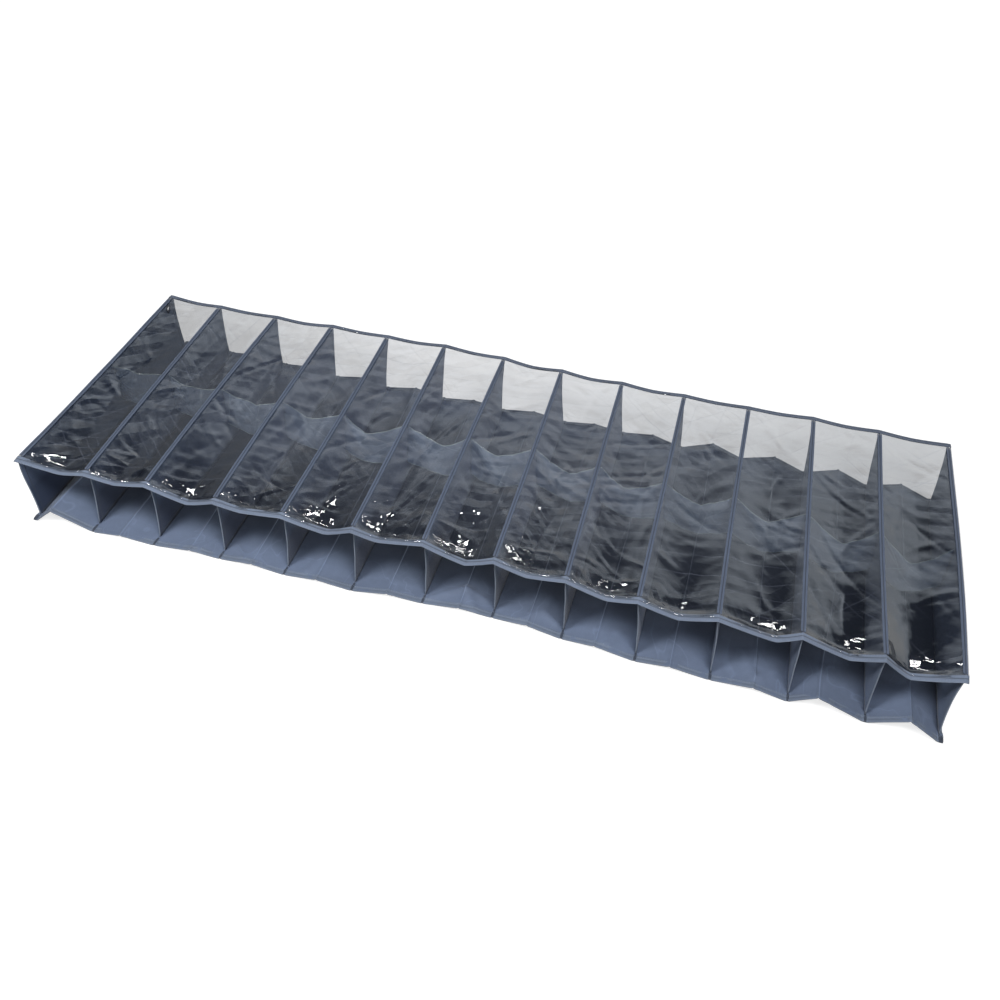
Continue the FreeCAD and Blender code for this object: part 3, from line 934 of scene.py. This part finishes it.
def build_floor(sizes):
    reach = 2 * FLOOR_HALF
    lines = np.concatenate([np.array([0.5, 2, 4, 7, 10, 13, 16, 20]) * MM / reach,
                            np.linspace(24, 76, 14) * MM / reach,
                            np.linspace(0.155, 0.94, 50),
                            1 - np.array([25, 20, 16, 13, 10, 7, 4, 2, 0.5]) * MM / reach])
    grid, uv = spread(floor_point, FLOOR_SHARES, lines, SEAM / 2, cloth_wrinkles,
                      sizes.seed, 0.55)
    grid[..., 2] = np.maximum(grid[..., 2], FLOOR_Z)
    count = len(shares(FLOOR_SHARES)) - 1
    middle = (count + 1) // 2
    last = len(lines) - 1
    tuck, front_apron, back_apron = 6, 24, 12

    def finish(i, j):
        """Painted highlight along the crease, painted shade beside it and in the tuck at
        each wall's end.
        """
        column = (i - 1) % count
        if i in (0, BAYS * count + 1):
            return 3
        if column == middle:
            return 1
        if column == middle + 1 and front_apron < j < last - back_apron:
            return 2
        return 2 if column in (0, count - 1) and not tuck <= j < last - tuck else 0

    floor = thick_sheet("floor_sheet_cloth", grid, uv, sizes.cloth,
                        ["floor cloth", "cloth crease", "seam shadow", "border cloth"],
                        finish)
    settle(floor, ROOT, "floor_fabric", "floor_sheet", pitch=FLOOR_PITCH)
    for label, back in (("front_floor_hem", False), ("back_floor_hem", True)):
        # Each hem's fold lines take a painted shade, and its tucks at the walls and its rim
        # a painted shadow.
        hem = edge_band(label + "_tape", floor_point, FLOOR_HALF, sizes.hem_width,
                        HEM_THICK, back, ["wall tape" if back else "edge tape",
                                          "hem fold", "seam shadow"])
        settle(hem, ROOT, "edge_tape", label, pitch=FLOOR_PITCH)
        row = edge_row(floor_point, FLOOR_HALF, sizes.hem_width - 0.0022, back, 0.0011)
        thread = stitch_rows(label + "_stitches", [row], "edge thread", sizes.stitch)
        settle(thread, ROOT, "edge_tape", pitch=FLOOR_PITCH)


def wall_surface(wall, v, h):
    """A wall from its foot, h 0, to its head, h 1: bowed, and curved out at its ends."""
    rng = np.random.default_rng(31 + wall)
    bow, twist, phase = rng.uniform(-2.4, 2.4), rng.uniform(-1.0, 1.0), rng.uniform(-1, 1)
    if wall == 0:
        bow, twist, phase = -1.2, 0.4, 0.0
    top, foot = 2 * TOP_HALF, 2 * FLOOR_HALF
    xt, yt = wall_top(wall, mix(TOP_INSET[wall] * MM, top - TOP_BACK_INSET, v) / top)
    xf, yf = wall_foot(wall, mix(FOOT_INSET[wall] * MM, foot - FOOT_BACK_INSET, v) / foot)
    x = mix(xf, xt, h) + np.sin(math.pi * h) * (
        bow * np.cos(math.pi * v * 1.3 + phase) + twist * np.sin(math.pi * v * 2.1)) * MM
    if wall == 0:
        x = x - 6.5 * MM * np.exp(-v / 0.06) * np.sin(math.pi * h ** 1.6)
    ends = np.exp(-v / 0.03) - np.exp(-(1 - v) / 0.03)
    y = mix(yf, yt, h) + ends * np.sin(math.pi * h) * 5.0 * MM
    return x, y, mix(FLOOR_Z + 0.0006, COVER_Z - 0.0004, h)


def build_wall(index, sizes):
    vs = np.concatenate([[0, 0.003, 0.018, 0.021], np.linspace(0.035, 0.965, 46),
                         [0.979, 0.982, 0.997, 1]])
    v, h = np.meshgrid(vs, np.linspace(0, 1, 15), indexing="ij")
    x, y, z = wall_surface(index, v, h)
    grid = np.stack([x, y, z], axis=2)
    seed = np.random.default_rng(77 + index).uniform(0, 50)
    for at in np.ndindex(x.shape):
        fade = math.sin(math.pi * h[at])
        grid[at][0] += fade * MM * 0.9 * noise.noise(Vector((y[at] * 16, z[at] * 22, seed)))
    edge = np.minimum(v, 1 - v)
    thick = mix(0.55, 1.0, smooth(edge / 0.05)) + np.where(edge < WALL_FOLD, 0.12, 0.0)
    last = len(vs) - 2
    # Walls before FIRST_LIT take the copy with painted light and painted foot shade; the
    # lines where each end folds over take a painted shade.
    return thick_sheet("%s_board" % WALLS[index], grid, np.stack([y, z], axis=2),
                       (thick * sizes.board)[..., None],
                       ["wall cloth" if index < FIRST_LIT else "lit wall cloth",
                        "edge fold", "wall edge"],
                       lambda i, j: 2 if i < 1 or i >= last
                       else 1 if i in (2, last - 2) else 0)


def build_wall_tape(index, sizes):
    ends = (sizes.binding_width + 0.0003) / (2 * TOP_HALF)
    x, y = wall_top(index, np.linspace(ends, 1 - ends, 60))
    seed = np.random.default_rng(200 + index).uniform(0, 50)
    wave = np.array([noise.noise(Vector((0, float(b) * 9, seed))) for b in y])
    z = COVER_Z + 0.0009 + sizes.film / 2 + np.abs(wave) * 0.5 * MM
    path = np.stack([x, y, z], axis=1)
    side, up = frames_along(path, (1, 0, 0))
    roll = wave[:, None] * TAPE_ROLL
    cos, sin = np.cos(roll), np.sin(roll)
    side, up = side * cos + up * sin, up * cos - side * sin
    label = "wall_tape_%02d" % (index + 1)
    # The groove along the tape's middle, sides 6 and 7, takes a painted shade.
    tape = sweep(label + "_folded", path, side, up,
                 folded_tape(sizes.tape_width, TAPE_THICK, 0.0006),
                 ["wall tape", "tape fold"], (6, 7), index * 0.7)
    lines = [path + side * s * sizes.tape_width * 0.34 + up * TAPE_THICK / 2
             for s in (-1, 1)]
    thread = stitch_rows(label + "_stitches", lines, "dark thread", sizes.stitch)
    settle(tape, WALLS[index], "wall_tape", label)
    settle(thread, WALLS[index], "wall_tape")


def build_cover(sizes):
    inner = sizes.binding_width * 0.6 / (2 * TOP_HALF)
    lines = np.concatenate([np.linspace(inner, 0.16, 32, endpoint=False),
                            np.linspace(0.16, 1 - inner, 90)])
    grid, uv = spread(cover_point, COVER_SHARES, lines, SEAM / 2, film_wrinkles,
                      sizes.seed + 40, sizes.wrinkle)
    grid[..., 2] = np.minimum(grid[..., 2], COVER_Z + 0.0015)
    film = thick_sheet("clear_cover_film", grid, uv, sizes.film, ["cover film"])
    settle(film, ROOT, "clear_film", "clear_cover", pitch=TOP_PITCH)
    for label, back, finish, thread_name in (
            ("front_top_binding", False, "edge tape", "edge thread"),
            ("back_top_binding", True, "wall tape", "dark thread")):
        width = sizes.binding_width * (0.8 if back else 1.0)
        # Each binding's fold lines and rim take a painted shade.
        band = edge_band(label + "_tape", cover_point, TOP_HALF, width, BINDING_THICK,
                         back, [finish, "edge fold"], BINDING_TILT)
        settle(band, ROOT, "edge_tape", label, pitch=TOP_PITCH)
        rows = [edge_row(cover_point, TOP_HALF, inset, back,
                         0.00095 - (width - inset) / width * BINDING_TILT)
                for inset in (0.0028, width - 0.0026)]
        thread = stitch_rows(label + "_stitches", rows, thread_name, sizes.stitch)
        settle(thread, ROOT, "edge_tape", pitch=TOP_PITCH)


def strip_point(bay, t, h):
    """A stop strip between two walls, folded forward along its middle."""
    z = mix(STRIP_LOW, STRIP_HIGH, h)
    share = (z - FLOOR_Z) / (COVER_Z - FLOOR_Z)
    v = np.full_like(t, 0.5)
    xa, ya, _ = wall_surface(bay, v, share)
    xb, yb, _ = wall_surface(bay + 1, v, share)
    ya, yb = ya + STRIP_BACK[bay] * MM, yb + STRIP_BACK[bay + 1] * MM
    x = mix(xa + STRIP_GAP, xb - STRIP_GAP, t)
    fold = tent(t, STRIP_FOLD_AT[bay], 0.45)
    y = mix(ya, yb, t) - fold * STRIP_FOLD[bay] * MM * (0.7 + 0.3 * h)
    z = z - fold * STRIP_FOLD[bay] * 0.42 * MM * (0.3 + 0.7 * h)
    return x, y, z


def build_strip(index, sizes):
    hs = np.concatenate([[0, 0.02], np.linspace(0.08, 0.92, 12), [0.98, 1]])
    t, h = np.meshgrid(np.linspace(0, 1, 41), hs, indexing="ij")
    x, y, z = strip_point(index, t, h)
    seed = np.random.default_rng(500 + index).uniform(0, 50)
    for at in np.ndindex(x.shape):
        fade = math.sin(math.pi * t[at]) ** 0.6
        px, pz = x[at], z[at]
        wave = 5.0 * noise.noise(Vector((px * 28, pz * 10, seed)))
        pleat = 2.4 * ridged(px, pz * 0.25, 38, seed + 3)
        y[at] += fade * MM * (wave - pleat)
        z[at] += fade * MM * 2.6 * noise.noise(Vector((px * 34, 0.0, seed + 7)))
    grid = np.stack([x, y, z], axis=2)
    uv = np.stack([x + BAYS / 2 * TOP_PITCH, z], axis=2)
    last = len(hs) - 2
    label = "stop_strip_%02d" % (index + 1)
    # The strip's top and bottom edges take a paler finish, a painted highlight.
    strip = thick_sheet(label + "_film", grid, uv, sizes.film, ["strip film", "strip rim"],
                        lambda i, j: 1 if j in (0, last) else 0)
    settle(strip, WALLS[index], "clear_film", label)
    squash(strip)


def lathe(name, profile, centre, turns, finish):
    """A ring about a line along X through the centre. The profile is closed."""
    profile = np.asarray(profile, float)
    angle = np.linspace(0, 2 * math.pi, turns, endpoint=False)
    n, m = turns, len(profile)
    points = np.stack([
        centre[0] + np.broadcast_to(profile[None, :, 0], (n, m)),
        centre[1] + profile[None, :, 1] * np.cos(angle)[:, None],
        centre[2] + profile[None, :, 1] * np.sin(angle)[:, None]], axis=2)
    faces = [(i * m + j, i * m + (j + 1) % m, (i + 1) % n * m + (j + 1) % m,
              (i + 1) % n * m + j) for i in range(n) for j in range(m)]
    uvs = np.stack(np.broadcast_arrays(angle[:, None] * 0.006, profile[None, :, 0]), axis=2)
    piece = finish_mesh(name, points.reshape(-1, 3), faces, uvs.reshape(-1, 2), [finish])
    face_outward(piece.data)
    return piece


def eyelet_place():
    """The eyelet's centre on the end wall, and its outer radius."""
    low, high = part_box("hanging_eyelet")
    middle = (low + high) / 2
    v = (middle.y + TOP_HALF - TOP_BACK_INSET) / (2 * TOP_HALF - 2 * TOP_BACK_INSET)
    h = (middle.z - FLOOR_Z) / (COVER_Z - FLOOR_Z)
    x = wall_surface(0, np.array([v]), np.array([h]))[0]
    return (float(x[0]), middle.y, middle.z), (high.y - low.y) / 2


def build_eyelet(sizes):
    """A barrel through the wall with a rolled rim on each side."""
    centre, outer = eyelet_place()
    half = sizes.board / 2 + 0.0002
    bore = outer - 0.0036
    neck = bore + 0.001
    rim = [(half + 0.0009 * math.sin(math.pi * k / 6) + 0.00005,
            bore + 0.0008 + (outer - bore - 0.0008) * k / 6) for k in range(7)]
    profile = [(-half - 0.0005, bore + 0.0002), (-half + 0.0006, bore),
               (half - 0.0006, bore), (half + 0.0005, bore + 0.0002)]
    profile += rim + [(half, neck), (-half, neck)] + [(-x, r) for x, r in rim[::-1]]
    ring = lathe("hanging_eyelet_ring", profile, centre, 40, "eyelet enamel")
    settle(ring, ROOT, "eyelet_metal", "hanging_eyelet")


def pierce(wall, centre, radius):
    """Opens a round hole through the wall for the eyelet."""
    n = HOLE_SIDES
    angle = np.linspace(0, 2 * math.pi, n, endpoint=False)
    disc = np.stack([np.zeros(n), np.cos(angle) * radius, np.sin(angle) * radius], axis=1)
    near = disc + np.array(centre) - (0.02, 0, 0)
    far = disc + np.array(centre) + (0.02, 0, 0)
    faces = [(i, (i + 1) % n, n + (i + 1) % n, n + i) for i in range(n)]
    faces += [tuple(range(n - 1, -1, -1)), tuple(range(n, 2 * n))]
    mesh = bpy.data.meshes.new("punch")
    mesh.from_pydata(np.vstack([near, far]).tolist(), [], faces)
    face_outward(mesh)
    punch = added("punch", mesh)
    modifier = wall.modifiers.new("Hole", "BOOLEAN")
    modifier.operation = "DIFFERENCE"
    modifier.object = punch
    modifier.solver = "EXACT"
    opened = applied(wall)
    wall.modifiers.clear()
    wall.data = opened
    bpy.data.objects.remove(punch)


# ---------------------------------------- stage
def lamp(name, place_at, aim, size, energy):
    data = bpy.data.lights.new(name, "AREA")
    data.shape = "RECTANGLE"
    data.size, data.size_y = size
    data.energy = energy
    made = added(name, data)
    made.location = place_at
    made.rotation_euler = (Vector(aim) - Vector(place_at)).to_track_quat(
        "-Z", "Y").to_euler()


def build_camera():
    data = bpy.data.cameras.new("camera")
    data.lens = 34.0947
    data.sensor_width = 36
    camera = added("camera", data)
    right = Vector((0.9639485, 0.2643261, 0.0305768))
    up = Vector((-0.2117715, 0.6925177, 0.6896173))
    back = Vector((0.1611089, -0.6712309, 0.7235282))
    turn = Matrix((right, up, back)).transposed()
    camera.matrix_world = Matrix.Translation((0.29289, -1.19091, 1.29948)) @ turn.to_4x4()
    bpy.context.scene.camera = camera


def build_ground():
    """A pale floor that is plain white far from the organizer."""
    mesh = bpy.data.meshes.new("ground")
    size, z = GROUND_HALF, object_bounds()[0].z - 0.0004
    mesh.from_pydata([(-size, -size, z), (size, -size, z), (size, size, z),
                      (-size, size, z)], [], [(0, 1, 2, 3)])
    material, graph, shader = new_material("pale floor")
    seen = graph.add("ShaderNodeLightPath").outputs["Is Camera Ray"]
    where = graph.add("ShaderNodeTexCoord").outputs["Object"]
    far = graph.add("ShaderNodeVectorMath", where, operation="LENGTH").outputs["Value"]
    give(graph, shader, Base_Color=(0.36, 0.36, 0.36, 1), Roughness=0.9,
         Specular_IOR_Level=0.1, Emission_Color=WHITE,
         Emission_Strength=graph.times(seen, graph.span(far, 0.8, 1.6, 0.78, 1.0)))
    mesh.materials.append(material)
    added("ground", mesh)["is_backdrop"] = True


def build_sky():
    """White to the camera. What the film mirrors is pale below, dark above and on the
    left."""
    world = bpy.data.worlds.new("studio")
    world.use_nodes = True
    bpy.context.scene.world = world
    graph = Graph(world.node_tree)
    path = graph.add("ShaderNodeLightPath").outputs
    seen = graph.maths("MAXIMUM", path["Is Camera Ray"],
                       graph.maths("MAXIMUM", path["Is Glossy Ray"],
                                   path["Is Transmission Ray"]))
    along, _, height = graph.split(
        graph.add("ShaderNodeTexCoord").outputs["Generated"])
    low = graph.span(height, 0.35, 0.60, 0.0, 1.0)
    high = graph.span(height, 0.635, 0.815, 0.0, 1.0)
    left = graph.span(along, -0.55, -0.36, 0.75, 0.0)
    pale = graph.blend(low, (0.95, 0.98, 1, 1), (0.80, 0.89, 1.0, 1))
    pale = graph.blend(left, pale, (0.03, 0.04, 0.06, 1))
    pale = graph.blend(high, pale, (0.014, 0.02, 0.035, 1))
    sky = graph.add("ShaderNodeBackground",
                    graph.blend(path["Is Camera Ray"], pale, WHITE),
                    graph.span(seen, 0.0, 1.0, 0.16, 1.0))
    graph.add("ShaderNodeOutputWorld", sky.outputs[0])


def build_stage():
    bpy.context.scene.view_settings.view_transform = "Standard"
    build_camera()
    build_ground()
    build_sky()
    lamp("key", (0.9, -1.1, 2.3), (0, -0.1, 0.05), (1.0, 0.5), 38)
    lamp("fill", (-1.1, -1.1, 1.9), (-0.3, -0.1, 0.05), (0.65, 0.42), 36)
    lamp("top", (0.2, 0.2, 2.4), (0, 0, 0.05), (0.4, 0.2), 9)


# ---------------------------------------- operators
class MakeStage(bpy.types.Operator):
    """Adds the camera, the lamps, the pale floor and the plain surroundings"""
    bl_idname = "organizer.stage"
    bl_label = "Stage"

    def execute(self, context):
        build_stage()
        return {"FINISHED"}


class MakeFloor(bpy.types.Operator):
    """Lays the creased floor sheet, its two hems and their stitches"""
    bl_idname = "organizer.floor"
    bl_label = "Floor"

    def execute(self, context):
        build_floor(context.scene.organizer_sizes)
        return {"FINISHED"}


class MakeWalls(bpy.types.Operator):
    """Stands the fabric-covered boards, one for each side of a bay"""
    bl_idname = "organizer.walls"
    bl_label = "Walls"

    def execute(self, context):
        sizes = context.scene.organizer_sizes
        for index, name in enumerate(WALLS):
            wall = build_wall(index, sizes)
            if index == 0:
                centre, outer = eyelet_place()
                pierce(wall, centre, outer - 0.0026)
            settle(wall, name, "wall_fabric", name)
        return {"FINISHED"}


class MakeWallTapes(bpy.types.Operator):
    """Folds a tape over the top edge of each wall and stitches it"""
    bl_idname = "organizer.wall_tapes"
    bl_label = "Wall tapes"

    def execute(self, context):
        for index in range(len(WALLS)):
            build_wall_tape(index, context.scene.organizer_sizes)
        return {"FINISHED"}


class MakeStopStrips(bpy.types.Operator):
    """Hangs the clear strip that stops a shoe in the middle of each bay"""
    bl_idname = "organizer.stop_strips"
    bl_label = "Stop strips"

    def execute(self, context):
        for index in range(BAYS):
            build_strip(index, context.scene.organizer_sizes)
        return {"FINISHED"}


class MakeCover(bpy.types.Operator):
    """Stretches the clear creased cover, its two bindings and their stitches"""
    bl_idname = "organizer.cover"
    bl_label = "Cover"

    def execute(self, context):
        build_cover(context.scene.organizer_sizes)
        return {"FINISHED"}


class MakeEyelet(bpy.types.Operator):
    """Rims the hanging hole in the end wall"""
    bl_idname = "organizer.eyelet"
    bl_label = "Eyelet"

    def execute(self, context):
        build_eyelet(context.scene.organizer_sizes)
        return {"FINISHED"}


STEPS = (MakeStage, MakeFloor, MakeWalls, MakeWallTapes, MakeStopStrips, MakeCover,
         MakeEyelet)


class OrganizerPanel(bpy.types.Panel):
    """Sizes, colours and making steps of the organizer"""
    bl_idname = "VIEW3D_PT_organizer"
    bl_label = "Folding organizer"
    bl_space_type = "VIEW_3D"
    bl_region_type = "UI"
    bl_category = "Organizer"

    def draw(self, context):
        for settings in (context.scene.organizer_sizes, context.scene.organizer_colours):
            box = self.layout.box()
            for key in type(settings).__annotations__:
                box.prop(settings, key)
        for step in STEPS:
            self.layout.operator(step.bl_idname)


CLASSES = (OrganizerSizes, OrganizerColours) + STEPS + (OrganizerPanel,)


def register():
    for item in CLASSES:
        bpy.utils.register_class(item)
    bpy.types.Scene.organizer_sizes = PointerProperty(type=OrganizerSizes)
    bpy.types.Scene.organizer_colours = PointerProperty(type=OrganizerColours)


def unregister():
    del bpy.types.Scene.organizer_sizes
    del bpy.types.Scene.organizer_colours
    for item in reversed(CLASSES):
        bpy.utils.unregister_class(item)


def main():
    register()
    for step in STEPS:
        family, name = step.bl_idname.split(".")
        getattr(getattr(bpy.ops, family), name)()


if __name__ == "__main__":
    main()
